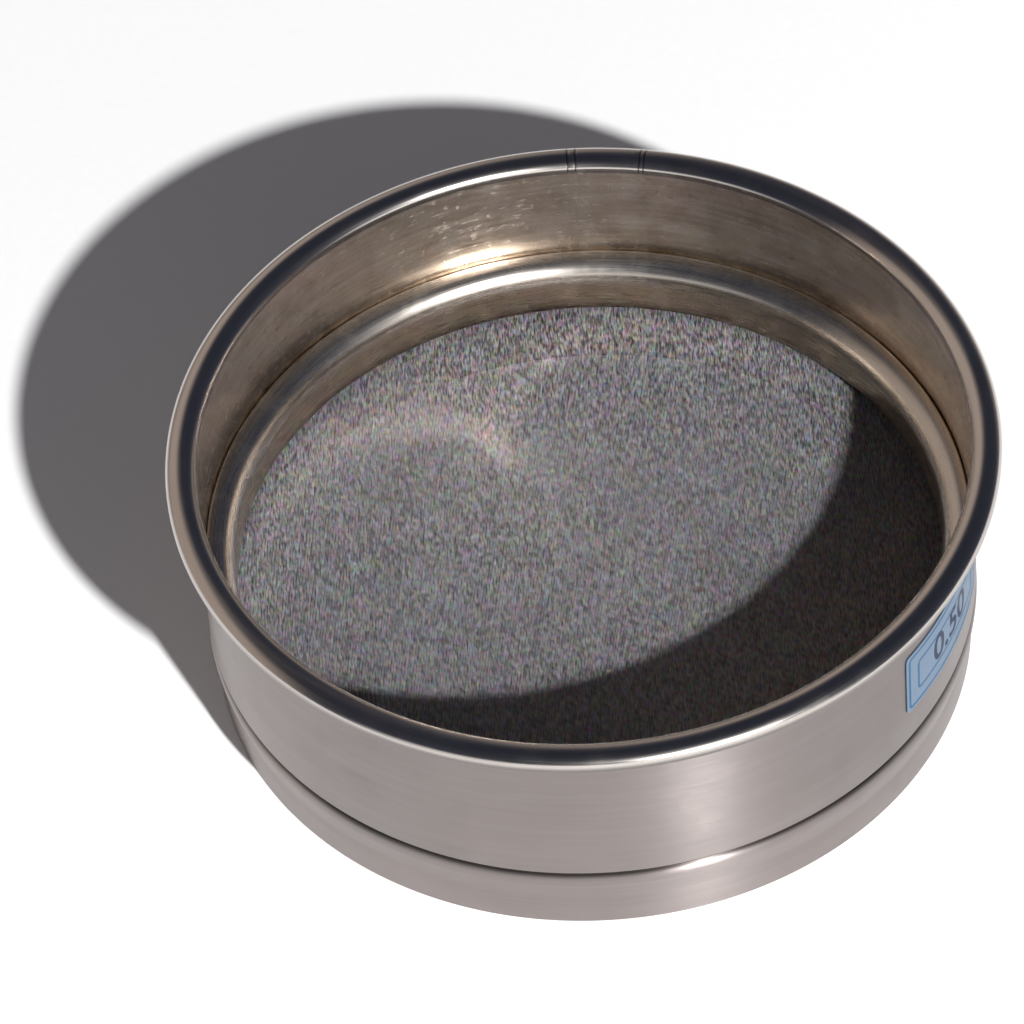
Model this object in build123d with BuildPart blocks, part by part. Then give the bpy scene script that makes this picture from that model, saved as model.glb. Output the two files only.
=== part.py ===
from build123d import *

import os
from math import acos, cos, degrees, radians, sin

# Drum sieve: a drum with a rolled rim, fine wire cloth clamped near its foot,
# and a skirt that nests in the rim of the next sieve.
# Millimetres, +Z up, origin at the middle of the circle that the skirt stands on.

# Driving dimensions
bore_diameter = 200.0
overall_height = 73.0
cloth_depth = 50.0

# Drum wall and its curled rim
drum_sheet = 1.0
rim_width = 8.0
rim_height = 5.6
curl_gap = 0.1
drum_lap = 1.9

# Formed ring that covers the edge of the cloth
ring_sheet = 1.0
ring_height = 17.7
ring_width = 7.65
ring_round = 5.4
ring_lip = 5.0
ring_lip_round = 0.9
ring_foot = 5.2
ring_foot_round = 4.0

# Wire cloth, with a plain grid of openings, and the solder that beds its edge
cloth_thickness = 0.4
cloth_margin = 1.5
cloth_border = 1.0
grid_count = 12
grid_open_share = 0.5
bed_height = 2.0

# Skirt
skirt_sheet = 1.0
nest_clearance = 0.5
shoulder_proud = 0.1
groove_height = 1.3
shoulder_rise = 1.8
shoulder_land = 1.6
taper_end_share = 0.6
flange_round = 0.9
neck_round = 1.5
shoulder_round = 2.0
taper_round_share = 0.6

# Solder bead along the outer groove
bead_height = 1.2
bead_thickness = 0.5
bead_hollow = 0.15

# Label stuck to the outside of the drum
label_length = 48.0
label_height = 21.0
label_thickness = 0.25
label_corner = 1.5
label_drop = 31.0
label_bearing = -26.3

# Films between pieces that seat on each other
joint_film = 0.05
label_film = 0.1

# Levels and radii that follow from the values above
bore_radius = bore_diameter / 2
drum_radius = bore_radius + drum_sheet
drum_mid = bore_radius + drum_sheet / 2
cloth_top = overall_height - cloth_depth
cloth_bottom = cloth_top - cloth_thickness
drum_bottom = cloth_top - drum_lap
rim_level = overall_height - rim_height / 2
rim_mid = bore_radius + rim_width / 2
curl_reach = (rim_width - drum_sheet) / 2
curl_rise = (rim_height - drum_sheet) / 2
curl_tip = drum_radius + curl_gap + drum_sheet / 2
curl_sweep = 360 - degrees(acos((rim_mid - curl_tip) / curl_reach))

seat_radius = bore_radius - joint_film
ring_bore = seat_radius - ring_width
ring_lip_mid = seat_radius - ring_sheet / 2
ring_flank_mid = ring_bore + ring_sheet / 2
ring_top_mid = cloth_top + ring_height - ring_sheet / 2
ring_foot_mid = cloth_top + ring_sheet / 2
ring_foot_end = ring_bore + ring_foot
grid_pitch = 2 * ring_bore / grid_count
grid_opening = grid_pitch * grid_open_share

neck_mid = seat_radius - skirt_sheet / 2
shoulder_radius = drum_radius + shoulder_proud
shoulder_mid = shoulder_radius - skirt_sheet / 2
skirt_radius = bore_radius - nest_clearance
skirt_mid = skirt_radius - skirt_sheet / 2
flange_mid = cloth_bottom - skirt_sheet / 2
groove_bottom = drum_bottom - groove_height
shoulder_top = groove_bottom - shoulder_rise
shoulder_low = shoulder_top - shoulder_land
taper_end = shoulder_low * taper_end_share
taper_round = taper_end * taper_round_share

# Drum: one sheet from its lower edge up the wall and round the hollow rim
with BuildPart() as drum_frame:
    with BuildSketch(Plane.XZ):
        with BuildLine():
            Line((drum_mid, drum_bottom), (drum_mid, rim_level))
            EllipticalCenterArc(
                (rim_mid, rim_level),
                curl_reach,
                curl_rise,
                start_angle=180,
                arc_size=-curl_sweep,
            )
        trace(line_width=drum_sheet)
    revolve(axis=Axis.Z)

# Clamping ring: a lip on the wall, a rounded shoulder, a flank and a foot turned back over the cloth
with BuildPart() as clamping_ring:
    with BuildSketch(Plane.XZ):
        with BuildLine():
            FilletPolyline(
                (ring_lip_mid, ring_top_mid - ring_lip),
                (ring_lip_mid, ring_top_mid),
                (ring_flank_mid, ring_top_mid),
                (ring_flank_mid, ring_foot_mid),
                (ring_foot_end, ring_foot_mid),
                radius=[ring_lip_round, ring_round, ring_foot_round],
            )
        trace(line_width=ring_sheet)
    revolve(axis=Axis.Z)

# Square openings of the cloth, cut off at its solid border along the ring
with BuildSketch(Plane.XY.offset(cloth_bottom)) as cloth_grid:
    with GridLocations(grid_pitch, grid_pitch, grid_count, grid_count):
        Rectangle(grid_opening, grid_opening)
    Circle(ring_bore - cloth_border, mode=Mode.INTERSECT)

# Wire cloth, held between the ring's foot above and the skirt's flange below
with BuildPart() as wire_cloth:
    with BuildSketch(Plane.XY.offset(cloth_bottom)):
        Circle(bore_radius - cloth_margin)
    extrude(amount=cloth_thickness)
    extrude(cloth_grid.sketch, amount=cloth_thickness, mode=Mode.SUBTRACT)

# Solder bed on the edge of the cloth, hidden between the ring's foot and the wall
with BuildPart() as cloth_solder_bed:
    with BuildSketch(Plane.XY.offset(cloth_top)):
        Circle(seat_radius)
        Circle(ring_foot_end + joint_film, mode=Mode.SUBTRACT)
    extrude(amount=bed_height)

# Centre line of the skirt's sheet: flange, neck, shoulder, taper and foot
skirt_path = FilletPolyline(
    (ring_bore, flange_mid),
    (neck_mid, flange_mid),
    (neck_mid, groove_bottom),
    (shoulder_mid, shoulder_top),
    (shoulder_mid, shoulder_low),
    (skirt_mid, taper_end),
    (skirt_mid, 0),
    radius=[flange_round, neck_round, shoulder_round, taper_round, taper_round],
)

# Skirt: carries the cloth on its flange and the drum on its neck
with BuildPart() as nesting_skirt:
    with BuildSketch(Plane.XZ):
        trace(skirt_path, line_width=skirt_sheet)
    revolve(axis=Axis.Z)

# Solder bead: a hollow-faced ring in the groove under the drum's lower edge
with BuildPart() as groove_solder_bead:
    with BuildSketch(Plane.XZ):
        with BuildLine():
            Polyline(
                (seat_radius + bead_thickness, drum_bottom),
                (neck_mid, drum_bottom),
                (neck_mid, drum_bottom - bead_height),
                (seat_radius + bead_thickness, drum_bottom - bead_height),
            )
            ThreePointArc(
                (seat_radius + bead_thickness, drum_bottom - bead_height),
                (seat_radius + bead_thickness - bead_hollow, drum_bottom - bead_height / 2),
                (seat_radius + bead_thickness, drum_bottom),
            )
        make_face()
        trace(skirt_path, line_width=skirt_sheet, mode=Mode.SUBTRACT)
    revolve(axis=Axis.Z)

# Label: a thin plate bent round the drum, with rounded corners
label_radius = drum_radius + label_film
label_sweep = degrees(label_length / label_radius)
label_start = radians(label_bearing - label_sweep / 2)
label_middle = overall_height - label_drop
label_plane = Plane(
    origin=(0, 0, 0),
    x_dir=(cos(label_start), sin(label_start), 0),
    z_dir=(sin(label_start), -cos(label_start), 0),
)
with BuildPart() as label_plate:
    with BuildSketch(label_plane):
        with Locations((label_radius + label_thickness / 2, label_middle)):
            Rectangle(label_thickness, label_height)
    revolve(axis=Axis.Z, revolution_arc=label_sweep)
    fillet(edges().filter_by(GeomType.LINE).group_by(SortBy.LENGTH)[0], label_corner)

pieces = {
    "drum_frame": drum_frame,
    "clamping_ring": clamping_ring,
    "wire_cloth": wire_cloth,
    "cloth_solder_bed": cloth_solder_bed,
    "nesting_skirt": nesting_skirt,
    "groove_solder_bead": groove_solder_bead,
    "label_plate": label_plate,
}
os.makedirs("parts", exist_ok=True)
for name, piece in pieces.items():
    piece.part.label = name
    export_step(piece.part, f"parts/{name}.step")
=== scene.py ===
"""Drum sieve: sheet-metal drum, ring and skirt, woven wire cloth and label, dressed on the fixed frame."""

import logging
from collections.abc import Callable, Iterator, Sequence
from contextlib import contextmanager
from dataclasses import dataclass, field, replace
from enum import Enum
from math import acos, atan2, ceil, copysign, cos, hypot, pi, radians, sin, sqrt, tan

import bpy
from mathutils import Matrix, Vector


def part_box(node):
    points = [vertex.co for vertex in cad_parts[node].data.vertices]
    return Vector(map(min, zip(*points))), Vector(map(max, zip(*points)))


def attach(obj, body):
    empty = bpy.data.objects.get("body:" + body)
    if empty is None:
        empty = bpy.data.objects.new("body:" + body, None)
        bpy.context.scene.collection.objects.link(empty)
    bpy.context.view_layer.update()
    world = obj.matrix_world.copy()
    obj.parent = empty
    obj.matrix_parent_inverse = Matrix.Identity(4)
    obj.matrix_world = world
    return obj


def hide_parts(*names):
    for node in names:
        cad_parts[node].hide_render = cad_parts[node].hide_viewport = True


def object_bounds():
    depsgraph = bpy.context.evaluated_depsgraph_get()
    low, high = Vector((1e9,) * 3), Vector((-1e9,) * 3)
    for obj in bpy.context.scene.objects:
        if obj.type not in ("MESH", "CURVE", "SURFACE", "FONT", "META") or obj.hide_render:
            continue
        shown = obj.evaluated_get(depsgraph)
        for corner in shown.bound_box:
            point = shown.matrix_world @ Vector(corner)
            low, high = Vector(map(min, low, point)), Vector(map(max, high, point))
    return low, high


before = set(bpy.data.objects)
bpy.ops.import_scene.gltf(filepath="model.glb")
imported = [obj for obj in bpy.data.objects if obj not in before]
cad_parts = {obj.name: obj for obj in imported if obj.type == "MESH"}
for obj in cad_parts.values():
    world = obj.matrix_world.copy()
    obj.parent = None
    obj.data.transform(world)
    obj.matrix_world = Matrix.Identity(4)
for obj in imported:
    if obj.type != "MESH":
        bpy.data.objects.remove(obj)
CAD_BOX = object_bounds()

LOG = logging.getLogger("drum_sieve")
MM = 0.001
FULL_TURN = 2 * pi
BODY = "root"

JOINT_MARGIN = radians(3)
CUT_ANGLE = radians(60)
SHEET_CREASE = radians(50)
ROUND_CREASE = radians(60)
PRINT_CREASE = radians(40)
MERGE_SHARE = 0.001
TOUCH_SHARE = 0.01

Point = tuple[float, float]
Span = tuple[float, float]
Colour = tuple[float, float, float]
Direction = tuple[float, float, float]
Socket = bpy.types.NodeSocket

WHOLE_NOISE: Span = (0.3, 0.7)
MIDDLE_NOISE: Span = (0.35, 0.65)


class Run(Enum):
    """The direction in which a set of the cloth's wires runs."""

    WARP = "warp"
    WEFT = "weft"


class Side(Enum):
    """Which half of the cloth's thickness a set of wires lies in."""

    TOP = 1
    BOTTOM = -1


class DrumFace(Enum):
    """Which finish a face of the drum has, by the place of its material."""

    OUTSIDE = 0
    RIM = 1
    INSIDE = 2


def deselect_everything() -> None:
    """Leaves nothing selected and nothing active, as the imported frame starts out selected."""
    bpy.ops.object.select_all(action="DESELECT")
    bpy.context.view_layer.objects.active = None


def take_up(piece: bpy.types.Object) -> None:
    """Makes one piece the only selected and the active one.

    Args:
        piece: the object to take up.
    """
    deselect_everything()
    piece.select_set(True)
    bpy.context.view_layer.objects.active = piece


@contextmanager
def editing(piece: bpy.types.Object) -> Iterator[None]:
    """Opens a piece in edit mode for the length of a with block.

    Args:
        piece: the object to edit.

    Yields:
        Nothing. Edit mode ends with the block.
    """
    take_up(piece)
    bpy.ops.object.mode_set(mode="EDIT")
    yield
    bpy.ops.object.mode_set(mode="OBJECT")


def add_modifier(piece: bpy.types.Object, kind: str, **settings: object) -> None:
    """Adds a modifier, sets it up and applies it.

    Args:
        piece: the object to finish.
        kind: the modifier's type, such as "SOLIDIFY".
        settings: values for the modifier's own fields.
    """
    take_up(piece)
    modifier = piece.modifiers.new(kind.lower(), kind)
    for name, value in settings.items():
        setattr(modifier, name, value)
    bpy.ops.object.modifier_apply(modifier=modifier.name)


def just_made(name: str) -> bpy.types.Object:
    """Names the piece that an operator has just made.

    Args:
        name: the piece's name.

    Returns:
        The piece.
    """
    piece = bpy.context.active_object
    piece.name = piece.data.name = name
    return piece


def face_outwards(piece: bpy.types.Object) -> None:
    """Turns the faces of a closed piece outwards.

    Args:
        piece: the piece.
    """
    with editing(piece):
        bpy.ops.mesh.select_all(action="SELECT")
        bpy.ops.mesh.normals_make_consistent(inside=False)


def arc(centre: Point, radii: Point, start: float, sweep: float, steps: int) -> list[Point]:
    """Points along an upright elliptical arc in the plane of the axis.

    Args:
        centre: radius and height of the arc's centre.
        radii: its reach outwards and its rise.
        start: first angle in radians, from straight outwards.
        sweep: angle to pass through, negative for clockwise.
        steps: number of straight steps.

    Returns:
        One point more than there are steps, each a radius and a height.
    """
    turns = [start + sweep * step / steps for step in range(steps + 1)]
    return [(centre[0] + radii[0] * cos(turn), centre[1] + radii[1] * sin(turn)) for turn in turns]


def rounded(corners: Sequence[Point], rounds: Sequence[float], steps: int) -> list[Point]:
    """A bent line whose inner corners are rounded by tangent arcs.

    Args:
        corners: the line's ends and corners.
        rounds: bend radius at each inner corner.
        steps: number of straight steps in each bend.

    Returns:
        The points of the line, with its bends.
    """
    points = [corners[0]]
    for before, corner, after, bend in zip(corners, corners[1:], corners[2:], rounds):
        back = (Vector(before) - Vector(corner)).normalized()
        ahead = (Vector(after) - Vector(corner)).normalized()
        half = back.angle(ahead) / 2
        middle = Vector(corner) + (back + ahead).normalized() * (bend / sin(half))
        first = Vector(corner) + back * (bend / tan(half)) - middle
        last = Vector(corner) + ahead * (bend / tan(half)) - middle
        start = atan2(first.y, first.x)
        sweep = (atan2(last.y, last.x) - start + pi) % FULL_TURN - pi
        points += arc((middle.x, middle.y), (bend, bend), start, sweep, steps)
    return points + [corners[-1]]


def spin_sheet(name: str, line: Sequence[Point], sheet: float, steps: int, edge: float) -> bpy.types.Object:
    """Draws a sheet's middle line point by point, spins it round the axis and gives it its thickness.

    Args:
        name: the piece's name.
        line: the middle line, each point a radius and a height.
        sheet: thickness of the sheet.
        steps: number of steps in the turn.
        edge: how far the sheet's cut edges are broken.

    Returns:
        The finished ring, closed and smooth.
    """
    deselect_everything()
    bpy.ops.mesh.primitive_plane_add(size=sheet)
    piece = just_made(name)
    with editing(piece):
        bpy.ops.mesh.select_all(action="SELECT")
        bpy.ops.mesh.merge(type="CENTER")
        bpy.ops.transform.translate(value=(line[0][0], 0, line[0][1]))
        for (radius, height), (next_radius, next_height) in zip(line, line[1:]):
            step = (next_radius - radius, 0, next_height - height)
            bpy.ops.mesh.extrude_region_move(TRANSFORM_OT_translate={"value": step})
        bpy.ops.mesh.select_all(action="SELECT")
        bpy.ops.mesh.spin(steps=steps, angle=FULL_TURN, center=(0, 0, 0), axis=(0, 0, 1))
        bpy.ops.mesh.select_all(action="SELECT")
        bpy.ops.mesh.remove_doubles(threshold=sheet * MERGE_SHARE)
        bpy.ops.mesh.normals_make_consistent(inside=False)
    add_modifier(piece, "SOLIDIFY", thickness=sheet, offset=0, use_even_offset=True)
    add_modifier(piece, "BEVEL", width=edge, segments=2, limit_method="ANGLE", angle_limit=CUT_ANGLE)
    face_outwards(piece)
    smooth(piece, SHEET_CREASE)
    return piece


def smooth(piece: bpy.types.Object, angle: float) -> None:
    """Shades a piece smooth, but for edges sharper than an angle in radians."""
    take_up(piece)
    bpy.ops.object.shade_smooth_by_angle(angle=angle)


def bearing_of(place: Vector) -> float:
    """The angle of a place round the axis, in radians from +X."""
    return atan2(place.y, place.x)


def near_bearing(place: Vector, bearing: float, margin: float) -> bool:
    """Whether a place is within a margin of a bearing, both in radians."""
    return abs((bearing_of(place) - bearing + pi) % FULL_TURN - pi) < margin


def score_joint(
    piece: bpy.types.Object, bearing: float, width: float, depth: float, keep: Callable[[Vector], bool]
) -> None:
    """Sinks a fine vee across a spun sheet, where its two ends meet.

    Args:
        piece: the ring to score.
        bearing: the joint's angle round the axis, in radians.
        width: width of the vee.
        depth: depth of the vee.
        keep: tells which places on the ring take the vee.
    """
    along = Vector((-sin(bearing), cos(bearing), 0))
    for offset in (-width / 2, 0, width / 2):
        for face in piece.data.polygons:
            face.select = near_bearing(face.center, bearing, JOINT_MARGIN) and keep(face.center)
        with editing(piece):
            bpy.ops.mesh.select_mode(type="FACE")
            bpy.ops.mesh.bisect(plane_co=along * offset, plane_no=along, threshold=width * TOUCH_SHARE)
            bpy.ops.mesh.select_mode(type="VERT")
            bpy.ops.mesh.select_all(action="DESELECT")
    for corner in piece.data.vertices:
        on_joint = abs(corner.co.dot(along)) < 2 * width * TOUCH_SHARE
        if on_joint and near_bearing(corner.co, bearing, JOINT_MARGIN) and keep(corner.co):
            corner.co -= corner.normal * depth


class ShaderBench:
    """A material being built, with short calls that add and join its nodes."""

    def __init__(self, name: str) -> None:
        """Starts an empty material with its output.

        Args:
            name: the material's name.
        """
        self.material = bpy.data.materials.new(name)
        self.material.use_nodes = True
        self.tree = self.material.node_tree
        self.tree.nodes.clear()
        self.output = self.tree.nodes.new("ShaderNodeOutputMaterial")
        self.place = self.tree.nodes.new("ShaderNodeTexCoord").outputs["Object"]
        axes = self.node("ShaderNodeSeparateXYZ", Vector=self.place)
        self.x, self.y, self.z = (axes.outputs[axis] for axis in "XYZ")

    def node(
        self, kind: str, settings: dict[str, object] | None = None, **inputs: object
    ) -> bpy.types.Node:
        """Adds a node.

        Args:
            kind: the node's type.
            settings: values for the node's own fields.
            inputs: a value or a socket for each input, named with _ for a blank.

        Returns:
            The new node.
        """
        made = self.tree.nodes.new(kind)
        for name, value in (settings or {}).items():
            setattr(made, name, value)
        for name, value in inputs.items():
            self.feed(made.inputs[name.replace("_", " ")], value)
        return made

    def feed(self, socket: Socket, value: object) -> None:
        """Fills an input.

        Args:
            socket: the input.
            value: a constant for it, or another node's socket to join it to.
        """
        if isinstance(value, Socket):
            self.tree.links.new(value, socket)
        else:
            socket.default_value = value

    def math(self, operation: str, *values: object) -> Socket:
        """Adds a sum on one, two or three numbers.

        Args:
            operation: what the sum does, such as "ADD".
            values: its numbers or sockets.

        Returns:
            The result.
        """
        made = self.node("ShaderNodeMath", {"operation": operation})
        for socket, value in zip(made.inputs, values):
            self.feed(socket, value)
        return made.outputs[0]

    def vector(self, x: object, y: object, z: object) -> Socket:
        """Three numbers joined to a vector."""
        return self.node("ShaderNodeCombineXYZ", X=x, Y=y, Z=z).outputs[0]

    def vector_math(self, operation: str, first: object, second: object = None) -> Socket:
        """Adds a sum on one vector, on two, or on a vector and its scale.

        Args:
            operation: what the sum does, such as "NORMALIZE".
            first: the vector that comes first.
            second: the other vector or the scale, where there is one.

        Returns:
            The result.
        """
        made = self.node("ShaderNodeVectorMath", {"operation": operation})
        self.feed(made.inputs[0], first)
        if operation == "SCALE":
            self.feed(made.inputs["Scale"], second)
        elif second is not None:
            self.feed(made.inputs[1], second)
        return made.outputs[0]

    def scaled(self, x: float, y: float, z: float) -> Socket:
        """The place in lengths of its own along each axis."""
        return self.vector_math("DIVIDE", self.place, (x, y, z))

    def spread(self, value: object, span: Span, to: Span = (0.0, 1.0)) -> Socket:
        """Carries a number from one range to another, and holds it inside that.

        Args:
            value: the number.
            span: the range that it comes from.
            to: the range that it goes to.

        Returns:
            The number that comes out.
        """
        made = self.node("ShaderNodeMapRange", Value=value)
        for name, limit in zip(("From Min", "From Max", "To Min", "To Max"), (*span, *to)):
            made.inputs[name].default_value = limit
        return made.outputs[0]

    def mixed(self, share: float, first: Socket, second: Socket) -> Socket:
        """A share of one number, filled up with another."""
        rest = self.math("MULTIPLY", second, 1 - share)
        return self.math("ADD", self.math("MULTIPLY", first, share), rest)

    def blend(self, factor: object, first: Socket | Colour, second: Socket | Colour) -> Socket:
        """Blends two colours.

        Args:
            factor: the second colour's share.
            first: the colour at a share of nought.
            second: the colour at a share of one.

        Returns:
            The blended colour.
        """
        made = self.node("ShaderNodeMix", {"data_type": "RGBA"})
        self.feed(made.inputs["Factor"], factor)
        for socket, colour in zip((made.inputs[6], made.inputs[7]), (first, second)):
            self.feed(socket, colour if isinstance(colour, Socket) else (*colour, 1.0))
        return made.outputs[2]

    def rotated(self, across: float, ahead: float) -> Socket:
        """The place's x and y, each times a number, and added."""
        return self.math("ADD", self.math("MULTIPLY", self.x, across), self.math("MULTIPLY", self.y, ahead))

    def radius(self) -> Socket:
        """Distance from the drum's axis."""
        flat = self.vector(self.x, self.y, 0.0)
        return self.node("ShaderNodeVectorMath", {"operation": "LENGTH"}, Vector=flat).outputs["Value"]

    def from_bearing(self, bearing: float) -> Socket:
        """Measures how far a place on a ring is from a bearing.

        Args:
            bearing: the angle round the axis, in radians.

        Returns:
            The distance to the half plane at the bearing, and a metre more on the far side of the axis.
        """
        across = self.rotated(-sin(bearing), cos(bearing))
        behind = self.math("LESS_THAN", self.rotated(cos(bearing), sin(bearing)), 0.0)
        return self.math("ADD", self.math("ABSOLUTE", across), behind)

    def noise(self, vector: Socket, detail: float = 2.0, w: object = 0.0) -> Socket:
        """Adds four-dimensional noise.

        Args:
            vector: the place, already in lengths of the noise.
            detail: octaves of finer noise.
            w: the place along the fourth axis.

        Returns:
            The noise, about a half on average.
        """
        settings = {"noise_dimensions": "4D"}
        made = self.node("ShaderNodeTexNoise", settings, Vector=vector, W=w, Scale=1.0, Detail=detail)
        return made.outputs["Fac"]

    def clouds(self, size: float, detail: float = 3.0) -> Socket:
        """Noise of one size in every direction."""
        return self.noise(self.scaled(size, size, size), detail)

    def stretched(self, around: float, across: float) -> Socket:
        """Draws noise out round the axis, as a turning brush leaves it.

        Args:
            around: length of a mark round the axis.
            across: width of a mark.

        Returns:
            The noise, about a half on average.
        """
        rings = self.math("DIVIDE", self.radius(), across)
        return self.noise(self.scaled(around, around, across), w=rings)

    def ragged(self, size: float, reach: float) -> Socket:
        """A length that wanders about nought, in patches of one size and by up to half a reach."""
        return self.math("MULTIPLY", self.math("SUBTRACT", self.clouds(size), 0.5), reach)

    def bump(self, height: Socket, distance: float, normal: Socket | None = None) -> Socket:
        """Bends a normal by a height.

        Args:
            height: the height, from nought to one.
            distance: how deep a height of one is.
            normal: the normal to bend, where it isn't the surface's own.

        Returns:
            The bent normal.
        """
        made = self.node("ShaderNodeBump", Height=height, Distance=distance)
        if normal is not None:
            self.feed(made.inputs["Normal"], normal)
        return made.outputs[0]

    def surface(self, **inputs: object) -> bpy.types.Material:
        """Ends the material in a principled surface.

        Args:
            inputs: a value or a socket for each of its inputs, named with _ for a blank.

        Returns:
            The finished material.
        """
        made = self.node("ShaderNodeBsdfPrincipled", **inputs)
        self.tree.links.new(made.outputs[0], self.output.inputs["Surface"])
        return self.material


@dataclass(frozen=True)
class Weld:
    """A butt weld ground flush, which leaves an upright streak with a ragged edge."""

    bearing: float
    width: float
    core_share: float = 0.25
    edge_share: float = 0.6
    patch: float = 4 * MM
    grind: Span = (-0.02, 0.05)
    grind_detail: float = 3.0
    colour: Colour = (0.56, 0.52, 0.46)
    share: float = 0.15


@dataclass(frozen=True)
class ShadeAndStainBand:
    """A band of colour that fades from its full share at one level to none at another: painted shade in
    crevices, grooves and corners, and browning that is partly heat tint and partly painted reflection.
    """

    colour: Colour
    full: float
    none: float
    wander: float
    share: float = 0.95
    patch: float = 9 * MM

    def above(self, level: float) -> "ShadeAndStainBand":
        """The same band, with its two levels counted from another one."""
        return replace(self, full=level + self.full, none=level + self.none)


@dataclass(frozen=True)
class Marks:
    """Fine dark lines across a ring."""

    bearings: tuple[float, ...]
    width: float = 0.32 * MM
    core_share: float = 0.3
    share: float = 0.75
    colour: Colour = (0.07, 0.062, 0.06)


@dataclass(frozen=True)
class BrushedSteel:
    """Stainless sheet, brushed or polished round the axis."""

    name: str
    # Painted shade: this default colour is darker than bare stainless steel, standing in for a dimmer floor
    # than the one that the sheet reflects.
    colour: Colour = (0.32, 0.284, 0.274)
    worn_and_reflected_colour: Colour = (0.288, 0.255, 0.243)
    roughness: float = 0.3
    roughness_swing: float = 0.05
    grain: float = 0.95
    grain_turn: float = 0.25
    mark_length: float = 16 * MM
    mark_width: float = 0.22 * MM
    mark_depth: float = 0.0004 * MM
    broad_length: float = 48 * MM
    broad_width: float = 1.54 * MM
    sway: float = 26 * MM
    sway_depth: float = 0.016 * MM
    cloud_share: float = 0.55
    smudge_share: float = 1 / 3
    smudge_detail: float = 5.0
    smudge_span: Span = (0.52, 0.68)
    weld: Weld | None = None
    shades_and_stains: tuple[ShadeAndStainBand, ...] = ()
    marks: Marks | None = None

    def material(self) -> bpy.types.Material:
        """Builds the steel.

        Returns:
            The material, with fine marks round the axis, smudges, a slight sway and the sheet's
            own weld, its bands of painted shade and browning, and its marks.
        """
        bench = ShaderBench(self.name)
        marks = bench.stretched(self.mark_length, self.mark_width)
        broad = bench.stretched(self.broad_length, self.broad_width)
        clouds = bench.clouds(self.sway)
        smudges = bench.clouds(self.sway * self.smudge_share, self.smudge_detail)
        # Worn patches: real wear, and on the inside a painted reflection of the cloth's glints.
        wear_and_reflection = bench.spread(bench.mixed(self.cloud_share, clouds, broad), MIDDLE_NOISE)
        tone = bench.blend(wear_and_reflection, self.colour, self.worn_and_reflected_colour)
        swing = self.roughness_swing / 2
        rough = bench.spread(marks, WHOLE_NOISE, (self.roughness - swing, self.roughness + swing))
        rough = bench.math("ADD", rough, bench.spread(smudges, self.smudge_span, (0.0, swing)))
        if self.weld:
            tone, rough = self.welded(bench, tone, rough)
        for band in self.shades_and_stains:
            tone = self.shaded_and_stained(bench, tone, band)
        if self.marks:
            tone = self.marked(bench, tone)
        normal = bench.bump(clouds, self.sway_depth)
        normal = bench.bump(marks, self.mark_depth, normal)
        tangent = bench.node("ShaderNodeTangent", {"direction_type": "RADIAL", "axis": "Z"}).outputs[0]
        return bench.surface(
            Base_Color=tone, Metallic=1.0, Roughness=rough, Anisotropic=self.grain,
            Anisotropic_Rotation=self.grain_turn, Normal=normal, Tangent=tangent,
        )

    def welded(self, bench: ShaderBench, tone: Socket, rough: Socket) -> tuple[Socket, Socket]:
        """Lays the ground weld's upright streak over the sheet.

        Args:
            bench: the material being built.
            tone: the sheet's colour so far.
            rough: its roughness so far.

        Returns:
            The colour and the roughness with the streak in them.
        """
        weld = self.weld
        edge = weld.width * weld.edge_share
        away = bench.math("ADD", bench.from_bearing(weld.bearing), bench.ragged(weld.patch, edge))
        streak = bench.spread(away, (weld.width * weld.core_share, edge), (1.0, 0.0))
        upright = bench.scaled(self.mark_width, self.mark_width, self.mark_length)
        grind = bench.spread(bench.noise(upright, weld.grind_detail), WHOLE_NOISE, weld.grind)
        tone = bench.blend(bench.math("MULTIPLY", streak, weld.share), tone, weld.colour)
        return tone, bench.math("ADD", rough, bench.math("MULTIPLY", streak, grind))

    def shaded_and_stained(self, bench: ShaderBench, tone: Socket, band: ShadeAndStainBand) -> Socket:
        """Blends a band's colour into the sheet by height: painted shade in crevices, grooves and corners,
        and browning that is partly heat tint and partly painted reflection.

        Args:
            bench: the material being built.
            tone: the sheet's colour so far.
            band: the band to add.

        Returns:
            The colour with the band in it.
        """
        level = bench.math("ADD", bench.z, bench.ragged(band.patch, band.wander))
        rising = band.full < band.none
        span = (band.full, band.none) if rising else (band.none, band.full)
        shares = (band.share, 0.0) if rising else (0.0, band.share)
        return bench.blend(bench.spread(level, span, shares), tone, band.colour)

    def marked(self, bench: ShaderBench, tone: Socket) -> Socket:
        """Draws the dark lines where a ring's ends meet.

        Args:
            bench: the material being built.
            tone: the ring's colour so far.

        Returns:
            The colour with the lines in it.
        """
        marks = self.marks
        span = (marks.width * marks.core_share, marks.width)
        for bearing in marks.bearings:
            line = bench.spread(bench.from_bearing(bearing), span, (marks.share, 0.0))
            tone = bench.blend(line, tone, marks.colour)
        return tone


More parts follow.
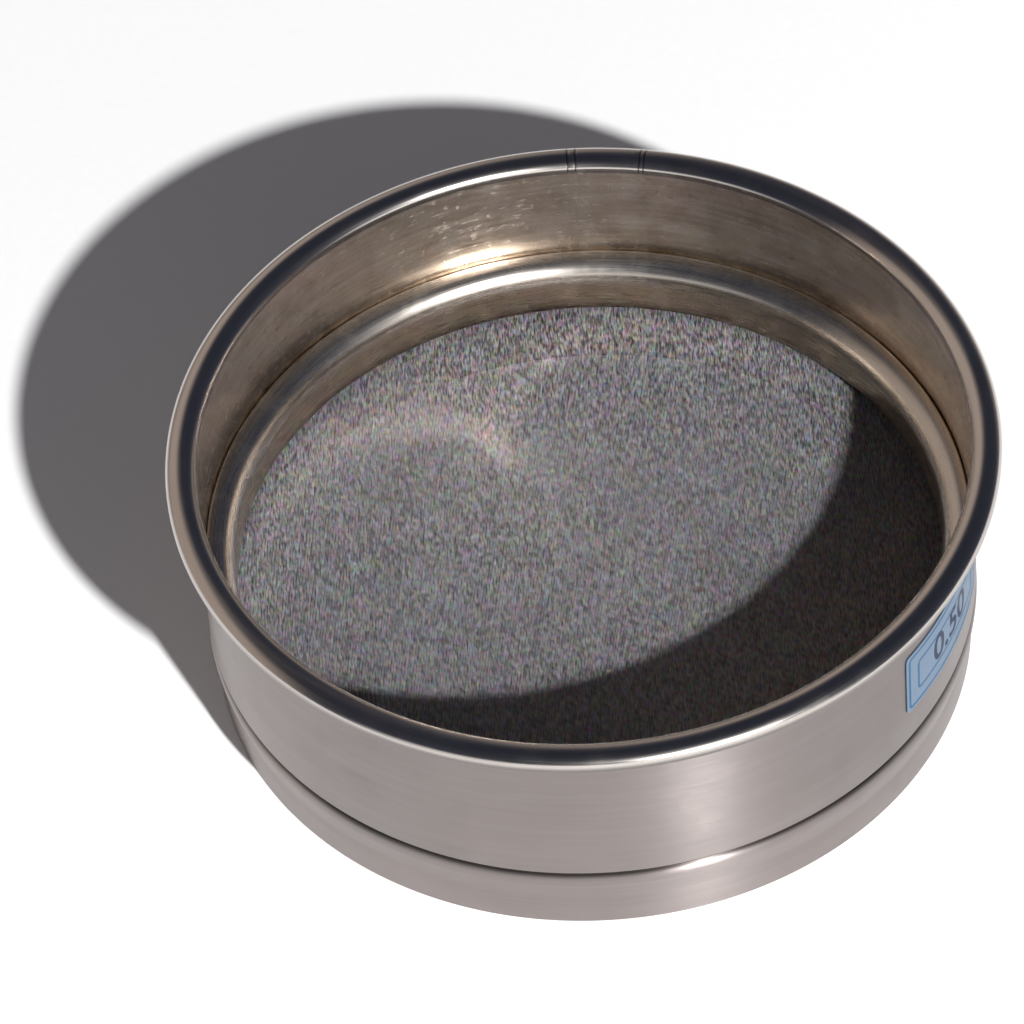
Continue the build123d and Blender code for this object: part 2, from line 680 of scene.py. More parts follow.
@dataclass(frozen=True)
class WireSteel:
    """Bright drawn wire, bent over and under the wires that it crosses, with painted glints in its colour.
    """

    name: str
    pitch: float
    wire: float
    run: Run
    # colour and dark are the bright and the dark ends of the painted glints.
    colour: Colour = (0.56, 0.55, 0.57)
    dark: Colour = (0.1, 0.093, 0.102)
    roughness: float = 0.33
    dash_width: float = 0.38 * MM
    dash_length: float = 2.3 * MM
    dash_span: Span = (0.38, 0.64)
    crimp_share: float = 1 / 3
    lean: float = 0.3
    tint_size: float = 1.5 * MM
    tint: float = 0.4

    def material(self) -> bpy.types.Material:
        """Builds the wire, whose crimp repeats with the weave, and whose painted glints and faint tints
        don't.

        Returns:
            The material.
        """
        bench = ShaderBench(self.name)
        # Painted glints: dashes of noise blend the wire from a dark to a bright colour, standing in for
        # glints of light on the wires.
        glint_and_lean_noise = bench.noise(bench.scaled(self.dash_width, self.dash_length, self.dash_width))
        tone = bench.blend(bench.spread(glint_and_lean_noise, self.dash_span), self.dark, self.colour)
        return bench.surface(
            Base_Color=self.tinted(bench, tone), Metallic=1.0, Roughness=self.roughness,
            Normal=self.crimped(bench, glint_and_lean_noise),
        )

    def crimped(self, bench: ShaderBench, glint_and_lean_noise: Socket) -> Socket:
        """Tilts the wire's normal along its run, up one side of each crossing and down the other.

        Args:
            bench: the material being built.
            glint_and_lean_noise: the noise of the painted glints, which also leans the normal a little more
                here and there.

        Returns:
            The tilted normal.
        """
        turn = pi / self.pitch
        along, beside = (bench.y, bench.x) if self.run is Run.WARP else (bench.x, bench.y)
        rise = bench.math("SINE", bench.math("MULTIPLY", along, turn))
        rise = bench.math("MULTIPLY", rise, bench.math("COSINE", bench.math("MULTIPLY", beside, turn)))
        slope = bench.math("MULTIPLY", rise, self.wire * self.crimp_share * turn)
        slope = bench.math("ADD", slope, bench.spread(glint_and_lean_noise, WHOLE_NOISE, (-self.lean, self.lean)))
        lean = bench.vector(0.0, slope, 0.0) if self.run is Run.WARP else bench.vector(slope, 0.0, 0.0)
        normal = bench.node("ShaderNodeNewGeometry").outputs["Normal"]
        return bench.vector_math("NORMALIZE", bench.vector_math("ADD", normal, lean))

    def tinted(self, bench: ShaderBench, tone: Socket) -> Socket:
        """Gives patches of the cloth a faint hue.

        Args:
            bench: the material being built.
            tone: the wire's colour so far.

        Returns:
            The colour with the hue in it.
        """
        hue = bench.node("ShaderNodeTexNoise", Vector=bench.place, Scale=1 / self.tint_size, Detail=0.0)
        shift = bench.vector_math("SUBTRACT", hue.outputs["Color"], (0.5, 0.5, 0.5))
        factor = bench.vector_math("ADD", bench.vector_math("SCALE", shift, self.tint * 2), (1.0, 1.0, 1.0))
        return bench.vector_math("MULTIPLY", tone, factor)


@dataclass(frozen=True)
class PaintedShadeSolder:
    """Old solder, painted nearly black as the shade of the groove it lies in, with grime and painted shade
    in its pores.
    """

    name: str
    # Painted shade: the solder's colour stands in for the shade of the groove, and the darker pore colour
    # adds painted shade in the lumps' hollows.
    colour: Colour = (0.05, 0.041, 0.037)
    grime_and_shade: Colour = (0.014, 0.011, 0.01)
    lump: float = 1.6 * MM
    lump_depth: float = 0.15 * MM
    lump_detail: float = 4.0
    pore_span: Span = (0.4, 0.62)
    roughness: Span = (0.8, 0.5)
    metal_share: float = 0.6

    def material(self) -> bpy.types.Material:
        """Builds the solder.

        Returns:
            The material.
        """
        bench = ShaderBench(self.name)
        lumps = bench.clouds(self.lump, self.lump_detail)
        tone = bench.blend(bench.spread(lumps, self.pore_span), self.grime_and_shade, self.colour)
        rough = bench.spread(lumps, MIDDLE_NOISE, self.roughness)
        normal = bench.bump(lumps, self.lump_depth)
        return bench.surface(Base_Color=tone, Metallic=self.metal_share, Roughness=rough, Normal=normal)


@dataclass(frozen=True)
class LabelFilm:
    """Glossy plastic film with a faint fleck."""

    name: str
    colour: Colour
    shade: Colour
    fleck: float = 0.5 * MM
    fleck_detail: float = 2.0
    cloud: float = 12 * MM
    cloud_depth: float = 0.02 * MM
    cloud_span: Span = (0.4, 0.6)
    tone_span: Span = (0.38, 0.62)
    roughness: Span = (0.35, 0.5)
    shine: float = 0.1

    def material(self) -> bpy.types.Material:
        """Builds the film.

        Returns:
            The material.
        """
        bench = ShaderBench(self.name)
        flecks = bench.clouds(self.fleck, self.fleck_detail)
        clouds = bench.clouds(self.cloud)
        fade = bench.spread(bench.mixed(0.5, flecks, clouds), self.tone_span)
        tone = bench.blend(fade, self.colour, self.shade)
        rough = bench.spread(clouds, self.cloud_span, self.roughness)
        normal = bench.bump(clouds, self.cloud_depth)
        return bench.surface(Base_Color=tone, Roughness=rough, Normal=normal, Specular_IOR_Level=self.shine)


@dataclass(frozen=True)
class PaleFloor:
    """A matt pale floor that goes white where nothing shades it."""

    name: str
    colour: Colour = (0.97, 0.97, 0.97)
    grain: float = 3 * MM
    shade: Span = (0.98, 1.0)

    def material(self) -> bpy.types.Material:
        """Builds the floor.

        Returns:
            The material.
        """
        bench = ShaderBench(self.name)
        shade = bench.spread(bench.clouds(self.grain), WHOLE_NOISE, self.shade)
        matt = bench.node("ShaderNodeBsdfDiffuse", Color=bench.vector_math("SCALE", self.colour, shade))
        bench.tree.links.new(matt.outputs[0], bench.output.inputs["Surface"])
        return bench.material


def dress(piece: bpy.types.Object, material: bpy.types.Material) -> None:
    """Gives a piece one material all over."""
    piece.data.materials.clear()
    piece.data.materials.append(material)


def settle(piece: bpy.types.Object, node: str) -> None:
    """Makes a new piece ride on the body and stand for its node.

    Args:
        piece: the finished piece.
        node: the frame's node that it stands for.
    """
    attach(piece, BODY)
    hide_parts(node)
    LOG.info("%s: %d faces", piece.name, len(piece.data.polygons))


@dataclass
class Drum:
    """The wall and its curled hollow rim, rolled from one sheet and welded at the back.

    The first of the rim's joints is over the wall's weld. The painted shade on the rim's underside and the
    painted dark reflection inside are counted from the rim's widest level, the painted shade by the crevice
    from that crevice.
    """

    sheet: float = 1.0 * MM
    rim_width: float = 8.0 * MM
    rim_height: float = 5.6 * MM
    curl_gap: float = 0.1 * MM
    edge: float = 0.12 * MM
    inset: float = 0.001 * MM
    joint_width: float = 0.36 * MM
    joint_depth: float = 0.02 * MM
    joints: tuple[float, ...] = (radians(87.5), radians(88.7), radians(77.9), radians(77.2))
    weld_width: float = 7.5 * MM
    rim_skin_share: float = 0.93
    # Painted shade: dark bands on both sides of the crevice under the rim and on the rim's underside, and a
    # painted dark reflection just inside the rim's bend.
    wall_crevice_painted_shade: ShadeAndStainBand = ShadeAndStainBand((0.05, 0.042, 0.04), -0.1 * MM, -0.9 * MM, 0.3 * MM, 0.85)
    rim_crevice_painted_shade: ShadeAndStainBand = ShadeAndStainBand((0.05, 0.042, 0.04), 0.1 * MM, 0.9 * MM, 0.2 * MM, 0.85)
    rim_underside_painted_shade: ShadeAndStainBand = ShadeAndStainBand((0.13, 0.12, 0.113), -0.4 * MM, 0.7 * MM, 0.2 * MM, 0.85)
    inside_painted_dark_reflection: ShadeAndStainBand = ShadeAndStainBand((0.05, 0.042, 0.04), 0.0, -0.9 * MM, 0.2 * MM, 0.8)
    wall_steps: int = 4
    curl_steps: int = 44
    steps: int = 360

    def __post_init__(self) -> None:
        """Takes the drum's reach and levels from the frame."""
        low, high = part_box("drum_frame")
        self.bottom, self.top = low[2], high[2]
        self.rim_radius = min(high[0], high[1], -low[0], -low[1]) - self.inset
        self.bore = self.rim_radius - self.rim_width
        self.radius = self.bore + self.sheet

    def line(self) -> list[Point]:
        """Draws the sheet's middle line, up the wall and round the rim.

        Returns:
            Its points, each a radius and a height.
        """
        wall = self.bore + self.sheet / 2
        middle = (self.bore + self.rim_width / 2, self.top - self.inset - self.rim_height / 2)
        reach = (self.rim_width - self.sheet) / 2
        rise = (self.rim_height - self.sheet) / 2
        tip = self.radius + self.curl_gap + self.sheet / 2
        sweep = FULL_TURN - acos((middle[0] - tip) / reach)
        step = (middle[1] - self.bottom) / self.wall_steps
        lower = [(wall, self.bottom + step * count) for count in range(self.wall_steps)]
        return lower + arc(middle, (reach, rise), pi, -sweep, self.curl_steps)

    def on_rim(self, place: Vector) -> bool:
        """Tells the rim's skin, which is all that its joints show on, from the rest of the drum.

        Args:
            place: a place on the drum.

        Returns:
            Whether it is on the rim's skin.
        """
        middle = self.bore + self.rim_width / 2
        level = self.top - self.rim_height / 2
        reach = (hypot(place.x, place.y) - middle) / (self.rim_width / 2)
        rise = (place.z - level) / (self.rim_height / 2)
        under = self.top - self.rim_height - self.sheet
        return place.z > under and hypot(reach, rise) > self.rim_skin_share

    def build(self) -> bpy.types.Object:
        """Models the drum.

        Returns:
            The drum, scored where the rim's ends meet.
        """
        piece = spin_sheet("drum", self.line(), self.sheet, self.steps, self.edge)
        for joint in self.joints:
            score_joint(piece, joint, self.joint_width, self.joint_depth, self.on_rim)
        self.finish(piece)
        settle(piece, "drum_frame")
        return piece

    def finish(self, piece: bpy.types.Object) -> None:
        """Brushes the wall's outside, gives the rim an even satin and leaves the inside brightest.

        The outside keeps the darkened steel colour, painted shade; the inside is lighter and browner,
        painted light and painted reflection of the cloth; the rim is near bare steel's own colour.

        Args:
            piece: the drum.
        """
        crevice = self.top - self.rim_height
        bend = crevice + self.rim_height / 2
        weld = Weld(self.joints[0], self.weld_width)
        # Painted shade: the outside's darkened colour, and the dark band under the rim's crevice.
        outside = BrushedSteel("satin_steel_drum", weld=weld, shades_and_stains=(self.wall_crevice_painted_shade.above(crevice),))
        # The rim: near bare steel's own colour; its dark bands are painted shade.
        rim = BrushedSteel(
            "satin_steel_rim", colour=(0.62, 0.575, 0.54), worn_and_reflected_colour=(0.55, 0.505, 0.47),
            roughness=0.2, grain=0.1, sway_depth=0.004 * MM,
            shades_and_stains=(self.rim_underside_painted_shade.above(bend), self.rim_crevice_painted_shade.above(crevice)), marks=Marks(self.joints),
        )
        # Painted light: the inside is lighter and browner than the rest of the sheet, standing in for the
        # sunlit cloth that it reflects; its mottling is painted reflection of the cloth's glints, and its
        # dark band a painted dark reflection.
        inside = BrushedSteel(
            "polished_steel_inside_painted_light", colour=(0.78, 0.68, 0.57), worn_and_reflected_colour=(0.5, 0.4, 0.31),
            roughness=0.19, roughness_swing=0.16, grain=0.85, mark_depth=0.0005 * MM,
            sway=7 * MM, sway_depth=0.008 * MM, weld=weld, shades_and_stains=(self.inside_painted_dark_reflection.above(bend),),
        )
        steels = {DrumFace.OUTSIDE: outside, DrumFace.RIM: rim, DrumFace.INSIDE: inside}
        piece.data.materials.clear()
        for face_kind in DrumFace:
            piece.data.materials.append(steels[face_kind].material())
        for face in piece.data.polygons:
            reach = hypot(face.center.x, face.center.y)
            if face.center.z > bend or reach > self.radius + self.curl_gap / 4:
                face.material_index = DrumFace.RIM.value
            elif reach < self.bore + self.sheet / 2:
                face.material_index = DrumFace.INSIDE.value


@dataclass
class ClampingRing:
    """The formed ring over the cloth's edge: a lip on the wall, a round shoulder, a flank and a foot.

    The browning, partly heat tint and partly painted reflection, is counted from the ring's top, and the
    painted shade at the foot from the foot.
    """

    sheet: float = 1.0 * MM
    width: float = 7.65 * MM
    round_top: float = 5.4 * MM
    lip: float = 5.0 * MM
    lip_round: float = 0.9 * MM
    foot: float = 5.2 * MM
    foot_round: float = 4.0 * MM
    edge: float = 0.12 * MM
    joint: float = radians(78.8)
    joint_width: float = 0.4 * MM
    joint_depth: float = 0.05 * MM
    # The flank's browning is partly heat tint and partly painted reflection of the tan cloth; the dark band
    # at the foot is painted shade of the corner with the cloth.
    browning_and_painted_reflection: ShadeAndStainBand = ShadeAndStainBand((0.55, 0.43, 0.31), -7 * MM, -3 * MM, 3 * MM, 0.85)
    grime_and_shade: ShadeAndStainBand = ShadeAndStainBand((0.1, 0.06, 0.037), 1.2 * MM, 6 * MM, 2.5 * MM)
    bend_steps: int = 20
    steps: int = 360

    def __post_init__(self) -> None:
        """Takes the ring's reach and levels from the frame."""
        low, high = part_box("clamping_ring")
        self.bottom, self.top = low[2], high[2]
        self.outer = high[0]
        self.inner = self.outer - self.width

    def on_face(self, place: Vector) -> bool:
        """Whether a place is on the side of the ring that is seen from above."""
        deep = hypot(place.x, place.y) - self.inner
        return deep < self.sheet / 2 or place.z > self.top - self.sheet / 2

    def build(self) -> bpy.types.Object:
        """Models the ring.

        Returns:
            The ring, with the faint line of its butt joint.
        """
        back = self.outer - self.sheet / 2
        front = self.inner + self.sheet / 2
        crest = self.top - self.sheet / 2
        floor = self.bottom + self.sheet / 2
        corners = [
            (back, crest - self.lip), (back, crest), (front, crest), (front, floor),
            (self.inner + self.foot, floor),
        ]
        line = rounded(corners, (self.lip_round, self.round_top, self.foot_round), self.bend_steps)
        piece = spin_sheet("clamping_ring_formed", line, self.sheet, self.steps, self.edge)
        score_joint(piece, self.joint, self.joint_width, self.joint_depth, self.on_face)
        steel = BrushedSteel(
            "polished_steel_ring", colour=(0.62, 0.575, 0.53), worn_and_reflected_colour=(0.54, 0.49, 0.44),
            roughness=0.26, roughness_swing=0.08, grain=0.1, sway_depth=0.005 * MM,
            shades_and_stains=(self.browning_and_painted_reflection.above(self.top), self.grime_and_shade.above(self.bottom)),
        )
        dress(piece, steel.material())
        settle(piece, "clamping_ring")
        return piece


@dataclass
class Skirt:
    """The lower ring: a flange under the cloth, a neck, a shoulder, and a taper down to the foot.

    The painted shade's levels are counted from the bottom of the groove between drum and skirt.
    """

    sheet: float = 1.0 * MM
    bore: float = 100.0 * MM
    joint_film: float = 0.05 * MM
    nest_clearance: float = 0.5 * MM
    flange_reach: float = 7.65 * MM
    groove_height: float = 1.3 * MM
    shoulder_rise: float = 1.8 * MM
    shoulder_land: float = 1.6 * MM
    taper_end_share: float = 0.6
    taper_round_share: float = 0.6
    bends: tuple[float, float, float] = (0.9 * MM, 1.5 * MM, 2.0 * MM)
    edge: float = 0.15 * MM
    inset: float = 0.001 * MM
    sway_depth: float = 0.014 * MM
    # Painted shade: a dark band just under the groove between drum and skirt.
    grime_and_shade: ShadeAndStainBand = ShadeAndStainBand((0.04, 0.033, 0.031), -0.4 * MM, -1.2 * MM, 0.2 * MM, 0.92)
    bend_steps: int = 10
    steps: int = 360

    def __post_init__(self) -> None:
        """Takes the skirt's reach and levels from the frame."""
        _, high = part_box("nesting_skirt")
        self.top = high[2]
        self.shoulder = high[0]
        self.groove_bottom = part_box("drum_frame")[0][2] - self.groove_height

    def build(self) -> bpy.types.Object:
        """Models the skirt.

        Returns:
            The skirt.
        """
        seat = self.bore - self.joint_film
        neck = seat - self.sheet / 2
        shoulder = self.shoulder - self.sheet / 2
        foot = self.bore - self.nest_clearance - self.sheet / 2
        flange = self.top - self.sheet / 2
        shoulder_top = self.groove_bottom - self.shoulder_rise
        shoulder_low = shoulder_top - self.shoulder_land
        taper_end = shoulder_low * self.taper_end_share
        taper_round = taper_end * self.taper_round_share
        corners = [
            (seat - self.flange_reach, flange), (neck, flange), (neck, self.groove_bottom),
            (shoulder, shoulder_top), (shoulder, shoulder_low), (foot, taper_end), (foot, self.inset),
        ]
        line = rounded(corners, (*self.bends, taper_round, taper_round), self.bend_steps)
        piece = spin_sheet("skirt", line, self.sheet, self.steps, self.edge)
        # Painted shade: the dark band under the groove, on the steel's darkened default colour.
        grime_and_shade = self.grime_and_shade.above(self.groove_bottom)
        steel = BrushedSteel("satin_steel_skirt", sway_depth=self.sway_depth, shades_and_stains=(grime_and_shade,))
        dress(piece, steel.material())
        settle(piece, "nesting_skirt")
        return piece


@dataclass
class SolderBead:
    """The uneven bead of solder in the groove between drum and skirt."""

    unevenness: float = 0.05 * MM
    ripples: tuple[int, ...] = (9, 23, 41, 77)
    steps: int = 360
    section_steps: int = 12

    def build(self) -> bpy.types.Object:
        """Models the bead.

        Returns:
            The bead.
        """
        low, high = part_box("groove_solder_bead")
        half_height = (high[2] - low[2]) / 2
        middle = (low[2] + high[2]) / 2
        deselect_everything()
        bpy.ops.mesh.primitive_torus_add(
            major_segments=self.steps, minor_segments=self.section_steps,
            major_radius=high[0] - half_height, minor_radius=half_height - self.unevenness,
        )
        piece = just_made("solder_bead")
        for corner in piece.data.vertices:
            turn = bearing_of(corner.co)
            swell = sum(sin(ripple * turn + ripple) for ripple in self.ripples) / len(self.ripples)
            corner.co += corner.normal * self.unevenness * swell
        piece.data.transform(Matrix.Translation((0, 0, middle)))
        smooth(piece, ROUND_CREASE)
        # The bead's solder is painted dark as the shade of the groove.
        dress(piece, PaintedShadeSolder("solder_painted_shade").material())
        settle(piece, "groove_solder_bead")
        return piece


@dataclass
class WireCloth:
    """Plain cloth of two crossing sets of fine wires."""

    pitch: float = 0.4 * MM
    wire_sides: int = 8

    def __post_init__(self) -> None:
        """Takes the cloth's reach and levels from the frame."""
        low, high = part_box("wire_cloth")
        self.radius = high[0]
        self.middle = (low[2] + high[2]) / 2
        self.wire = (high[2] - low[2]) / 2

    def wires(self, run: Run, side: Side) -> bpy.types.Object:
        """Models one set of wires.

        Args:
            run: the way that they run.
            side: the half of the cloth that they lie in.

        Returns:
            All the wires of the set as one piece, each ending at the cloth's round edge.
        """
        deselect_everything()
        each_way = ceil(self.radius / self.pitch) - 1
        bpy.ops.mesh.primitive_cylinder_add(
            vertices=self.wire_sides, radius=self.wire / 2, depth=2 * self.radius, rotation=(pi / 2, 0, 0),
            location=(-each_way * self.pitch, 0, 0),
        )
        piece = just_made(f"wires_{run.value}")
        bpy.ops.object.transform_apply(location=True, rotation=True, scale=True)
        add_modifier(
            piece, "ARRAY", count=2 * each_way + 1, use_relative_offset=False,
            use_constant_offset=True, constant_offset_displace=(self.pitch, 0, 0),
        )
        for corner in piece.data.vertices:
            reach = sqrt(self.radius**2 - corner.co.x**2) if abs(corner.co.x) < self.radius else 0.0
            corner.co.y = copysign(reach, corner.co.y)
        turn = pi / 2 if run is Run.WEFT else 0.0
        level = self.middle + side.value * self.wire / 2
        piece.data.transform(Matrix.Translation((0, 0, level)) @ Matrix.Rotation(turn, 4, "Z"))
        smooth(piece, ROUND_CREASE)
        return piece

    def build(self) -> list[bpy.types.Object]:
        """Models both sets of wires.

        Returns:
            The warp and the weft.
        """
        made = [self.wires(Run.WARP, Side.BOTTOM), self.wires(Run.WEFT, Side.TOP)]
        for piece, run in zip(made, (Run.WARP, Run.WEFT)):
            dress(piece, WireSteel(f"wire_steel_{run.value}", self.pitch, self.wire, run).material())
            settle(piece, "wire_cloth")
        return made


@dataclass
class Label:
    """A small printed label bent round the drum: film, two printed frames and plain numerals."""

    length: float = 48.0 * MM
    corner: float = 1.5 * MM
    bearing: float = radians(-26.3)
    gap: float = 0.1 * MM
    thickness: float = 0.25 * MM
    ink: float = 0.03 * MM
    outer_margin: float = 0.9 * MM
    inner_margin: float = 5.0 * MM
    rule: float = 0.8 * MM
    numerals: str = "0.50"
    numeral_height: float = 9.0 * MM
    numeral_weight: float = 0.2 * MM
    size_for_height: float = 1.4
    pale_film: LabelFilm = LabelFilm("label_film", (0.108, 0.16, 0.225), (0.137, 0.18, 0.24))
    blue_ink: LabelFilm = LabelFilm("label_ink_blue", (0.02, 0.075, 0.16), (0.03, 0.095, 0.18))
    dark_ink: LabelFilm = LabelFilm("label_ink_dark", (0.004, 0.012, 0.04), (0.008, 0.02, 0.055))
    corner_steps: int = 6
    cells: int = 48

    def __post_init__(self) -> None:
        """Takes the label's levels and its seat from the frame."""
        low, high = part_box("label_plate")
        self.height = high[2] - low[2]
        self.middle = (low[2] + high[2]) / 2
        self.drum_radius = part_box("drum_frame")[1][0] - Drum.rim_width + Drum.sheet

    def wrap(self, piece: bpy.types.Object) -> None:
        """Bends a flat piece round the drum: its length goes round, its height up and its thickness out.

        Args:
            piece: the flat piece, centred on the label's middle.
        """
        for corner in piece.data.vertices:
            turn = self.bearing + corner.co.x / self.drum_radius
            radius = self.drum_radius + corner.co.z
            corner.co = (radius * cos(turn), radius * sin(turn), self.middle + corner.co.y)
        piece.data.update()

    def slab(self, name: str, length: float, height: float, corner: float) -> bpy.types.Object:
        """Models a flat sheet with rounded corners, lying in the plane of its length and height.

        Args:
            name: the piece's name.
            length: how long it is.
            height: how high it is.
            corner: radius of its corners.

        Returns:
            The sheet, still without a thickness.
        """
        deselect_everything()
        bpy.ops.mesh.primitive_plane_add(size=1.0)
        piece = just_made(name)
        with editing(piece):
            bpy.ops.mesh.select_all(action="SELECT")
            bpy.ops.transform.resize(value=(length, height, 1.0))
            bpy.ops.mesh.bevel(
                offset=corner, offset_type="OFFSET", segments=self.corner_steps, affect="VERTICES"
            )
        return piece

    def slice_lengthwise(self, piece: bpy.types.Object) -> None:
        """Cuts a flat piece across at even steps, so that it bends smoothly.

        Args:
            piece: the flat piece.
        """
        for cell in range(1, self.cells):
            place = (cell / self.cells - 0.5) * self.length
            with editing(piece):
                bpy.ops.mesh.select_all(action="SELECT")
                bpy.ops.mesh.bisect(
                    plane_co=(place, 0, 0), plane_no=(1, 0, 0), threshold=self.ink * TOUCH_SHARE
                )

    def finish_print(
        self, piece: bpy.types.Object, base: float, thickness: float, material: bpy.types.Material
    ) -> None:
        """Gives a flat piece its thickness, bends it on to the drum and dresses it.

        Args:
            piece: the flat piece.
            base: how far its underside is from the drum.
            thickness: its thickness.
            material: its finish.
        """
        self.slice_lengthwise(piece)
        add_modifier(piece, "SOLIDIFY", thickness=thickness, offset=1)
        piece.data.transform(Matrix.Translation((0, 0, base)))
        self.wrap(piece)
        face_outwards(piece)
        smooth(piece, PRINT_CREASE)
        dress(piece, material)

    def frame_line(self, name: str, margin: float) -> bpy.types.Object:
        """Models a printed frame inside the label's edge, as wide as the rule.

        Args:
            name: the piece's name.
            margin: how far it is from the label's edge.

        Returns:
            The frame, flat and without a thickness.
        """
        piece = self.slab(name, self.length - 2 * margin, self.height - 2 * margin, self.corner)
        with editing(piece):
            bpy.ops.mesh.select_all(action="SELECT")
            bpy.ops.mesh.inset(thickness=self.rule, use_boundary=True)
            bpy.ops.mesh.delete(type="FACE")
        return piece

    def figures(self) -> bpy.types.Object:
        """Models plain printed numerals in the middle of the label.

        Returns:
            The numerals, flat and without a thickness.
        """
        deselect_everything()
        bpy.ops.object.text_add()
        text = bpy.context.active_object.data
        text.body = self.numerals
        text.size = self.numeral_height * self.size_for_height
        text.align_x = text.align_y = "CENTER"
        text.offset = self.numeral_weight
        bpy.ops.object.convert(target="MESH")
        piece = just_made("label_numerals")
        with editing(piece):
            bpy.ops.mesh.select_all(action="SELECT")
            bpy.ops.mesh.remove_doubles(threshold=self.ink * TOUCH_SHARE)
        return piece

    def build(self) -> list[bpy.types.Object]:
        """Models the label.

        Returns:
            The film, its two frames and its numerals.
        """
        film = self.slab("label_film_sheet", self.length, self.height, self.corner)
        self.finish_print(film, self.gap, self.thickness, self.pale_film.material())
        blue, dark = self.blue_ink.material(), self.dark_ink.material()
        top = self.gap + self.thickness
        prints = [
            (self.frame_line("label_outer_frame", self.outer_margin), blue),
            (self.frame_line("label_inner_frame", self.inner_margin), blue),
            (self.figures(), dark),
        ]
        for piece, material in prints:
            self.finish_print(piece, top - self.ink / 2, self.ink, material)
        made = [film] + [piece for piece, _ in prints]
        for piece in made:
            settle(piece, "label_plate")
        return made


@dataclass(frozen=True)
class Card:
    """A broad soft card at the sky's edge.

    Each span goes from none of the card to all of it: side by how nearly a direction points toward
    the card, height at its top and foot at its bottom, both by the direction's rise.
    """

    toward: Direction
    colour: Colour
    side: Span
    height: Span
    foot: Span = (-0.2, -0.1)


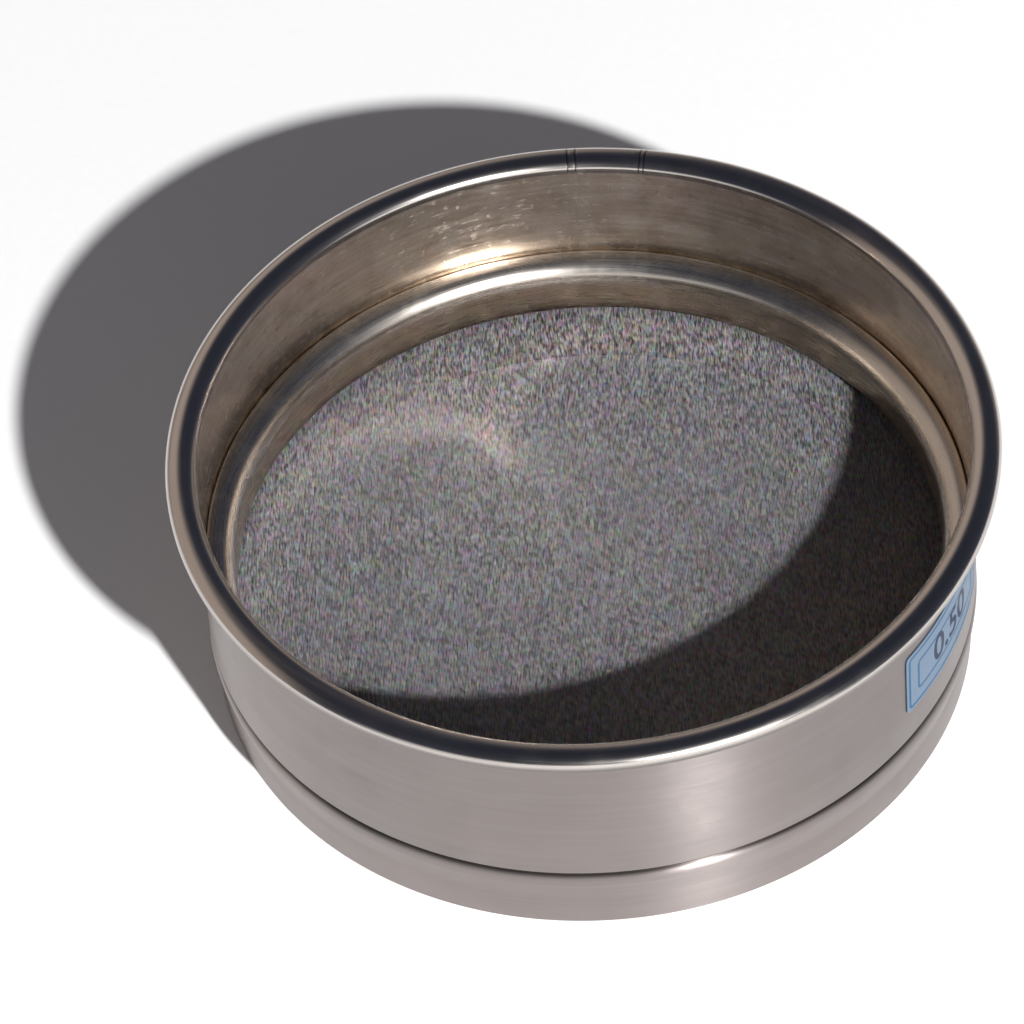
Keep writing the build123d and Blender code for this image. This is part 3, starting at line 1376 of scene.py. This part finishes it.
@dataclass
class Studio:
    """The pale floor, the key lamp, the sky with its soft cards, and the camera."""

    floor_radius: float = 10.0
    floor_sides: int = 96
    key_bearing: float = radians(-65.0)
    key_height: float = radians(36.0)
    key_distance: float = 6.0
    key_size: float = 0.22
    key_power: float = 590.0
    focal_length: float = 281.25
    sensor: float = 36.0
    camera_height: float = radians(48.05)
    camera_roll: float = radians(-4.34)
    camera_distance: float = 2063.6 * MM
    slide_right: float = -19.4 * MM
    slide_up: float = -14.7 * MM
    near_share: float = 0.01
    sky: tuple[tuple[float, Colour], ...] = field(default=(
        (0.0, (0.15, 0.165, 0.215)),
        (0.08, (0.08, 0.092, 0.13)),
        (0.3, (0.036, 0.043, 0.066)),
        (0.65, (0.03, 0.036, 0.055)),
        (1.0, (0.02, 0.025, 0.042)),
    ))
    cards: tuple[Card, ...] = field(default=(
        Card((0.0, -1.0, 0.0), (0.85, 0.85, 0.86), (0.35, 0.8), (0.46, 0.3)),
        Card((0.26, -0.966, 0.0), (1.6, 1.58, 1.56), (0.62, 0.95), (0.36, 0.24), (0.06, 0.14)),
        Card((-0.75, 0.66, 0.0), (0.5, 0.43, 0.385), (0.45, 0.72), (0.85, 0.74)),
        Card((0.0, 1.0, 0.0), (0.28, 0.25, 0.23), (0.4, 0.8), (0.36, 0.2)),
    ))

    def floor(self) -> None:
        """Lays the floor under the sieve's foot."""
        deselect_everything()
        bpy.ops.mesh.primitive_circle_add(
            vertices=self.floor_sides, radius=self.floor_radius, fill_type="NGON"
        )
        floor = bpy.context.active_object
        floor.name = "floor"
        dress(floor, PaleFloor("pale_floor").material())

    def lamp(self) -> None:
        """Hangs the soft key lamp to the right of the camera."""
        flat = cos(self.key_height)
        toward = Vector((flat * cos(self.key_bearing), flat * sin(self.key_bearing), sin(self.key_height)))
        deselect_everything()
        bpy.ops.object.light_add(type="AREA", location=toward * self.key_distance)
        lamp = bpy.context.active_object
        lamp.name = "key_lamp"
        lamp.data.shape = "DISK"
        lamp.data.size = self.key_size
        lamp.data.energy = self.key_power
        lamp.rotation_euler = toward.to_track_quat("Z", "Y").to_euler()

    def world(self) -> None:
        """Makes a sky that is pale at the horizon and dark overhead, with a few soft cards."""
        world = bpy.data.worlds.new("studio_sky")
        bpy.context.scene.world = world
        world.use_nodes = True
        nodes, links = world.node_tree.nodes, world.node_tree.links
        nodes.clear()
        place = nodes.new("ShaderNodeTexCoord").outputs["Generated"]
        axes = nodes.new("ShaderNodeSeparateXYZ")
        ramp = nodes.new("ShaderNodeValToRGB")
        light = nodes.new("ShaderNodeBackground")
        output = nodes.new("ShaderNodeOutputWorld")
        while len(ramp.color_ramp.elements) < len(self.sky):
            ramp.color_ramp.elements.new(1.0)
        for stop, (height, colour) in zip(ramp.color_ramp.elements, self.sky):
            stop.position = height
            stop.color = (*colour, 1.0)
        links.new(place, axes.inputs[0])
        rise = axes.outputs["Z"]
        links.new(rise, ramp.inputs[0])
        sky = ramp.outputs[0]
        for card in self.cards:
            sky = self.with_card(world.node_tree, card, place, rise, sky)
        links.new(sky, light.inputs["Color"])
        links.new(light.outputs[0], output.inputs["Surface"])

    def with_card(
        self, tree: bpy.types.NodeTree, card: Card, place: Socket, rise: Socket, sky: Socket
    ) -> Socket:
        """Lays one soft card over the sky.

        Args:
            tree: the sky's nodes.
            card: the card.
            place: the direction that is looked in.
            rise: how far that direction points up.
            sky: the sky's colour so far.

        Returns:
            The colour with the card in it.
        """
        side = tree.nodes.new("ShaderNodeVectorMath")
        side.operation = "DOT_PRODUCT"
        side.inputs[1].default_value = card.toward
        tree.links.new(place, side.inputs[0])
        share = None
        spans = ((side.outputs["Value"], card.side), (rise, card.height), (rise, card.foot))
        for value, span in spans:
            fade = tree.nodes.new("ShaderNodeMapRange")
            fade.interpolation_type = "SMOOTHSTEP"
            fade.inputs["From Min"].default_value, fade.inputs["From Max"].default_value = span
            tree.links.new(value, fade.inputs["Value"])
            if share is not None:
                tree.links.new(share, fade.inputs["To Max"])
            share = fade.outputs[0]
        both = tree.nodes.new("ShaderNodeMix")
        both.data_type = "RGBA"
        both.inputs[7].default_value = (*card.colour, 1.0)
        tree.links.new(share, both.inputs["Factor"])
        tree.links.new(sky, both.inputs[6])
        return both.outputs[2]

    def camera(self) -> None:
        """Places the camera where the photograph was taken from."""
        aim = Vector((0, cos(self.camera_height), -sin(self.camera_height)))
        up = Vector((0, sin(self.camera_height), cos(self.camera_height)))
        right = Vector((1, 0, 0))
        across = cos(self.camera_roll) * right + sin(self.camera_roll) * up
        upright = -sin(self.camera_roll) * right + cos(self.camera_roll) * up
        rim = Vector((0, 0, CAD_BOX[1].z - Drum.rim_height / 2))
        place = rim + self.slide_right * right + self.slide_up * up - self.camera_distance * aim
        data = bpy.data.cameras.new("camera")
        camera = bpy.data.objects.new("camera", data)
        bpy.context.scene.collection.objects.link(camera)
        turned = Matrix((across, upright, -aim)).transposed().to_4x4()
        camera.matrix_world = Matrix.Translation(place) @ turned
        data.lens = self.focal_length
        data.sensor_width = self.sensor
        data.clip_start = self.camera_distance * self.near_share
        data.clip_end = self.floor_radius * 2
        bpy.context.scene.camera = camera

    def build(self) -> None:
        """Sets the whole studio up."""
        self.floor()
        self.lamp()
        self.world()
        self.camera()
        bpy.context.scene.view_settings.view_transform = "Standard"


def dress_hidden_solder() -> None:
    """Gives the solder bed behind the clamping ring, which stays the frame's own node, its finish: the same
    solder, painted dark as shade.
    """
    dress(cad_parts["cloth_solder_bed"], PaintedShadeSolder("solder_bed_painted_shade").material())


def main() -> None:
    """Builds the sieve from the cloth outwards, then the studio round it."""
    logging.basicConfig(level=logging.INFO, format="%(name)s: %(message)s")
    WireCloth().build()
    ClampingRing().build()
    Drum().build()
    Skirt().build()
    SolderBead().build()
    Label().build()
    dress_hidden_solder()
    Studio().build()


if __name__ == "__main__":
    main()
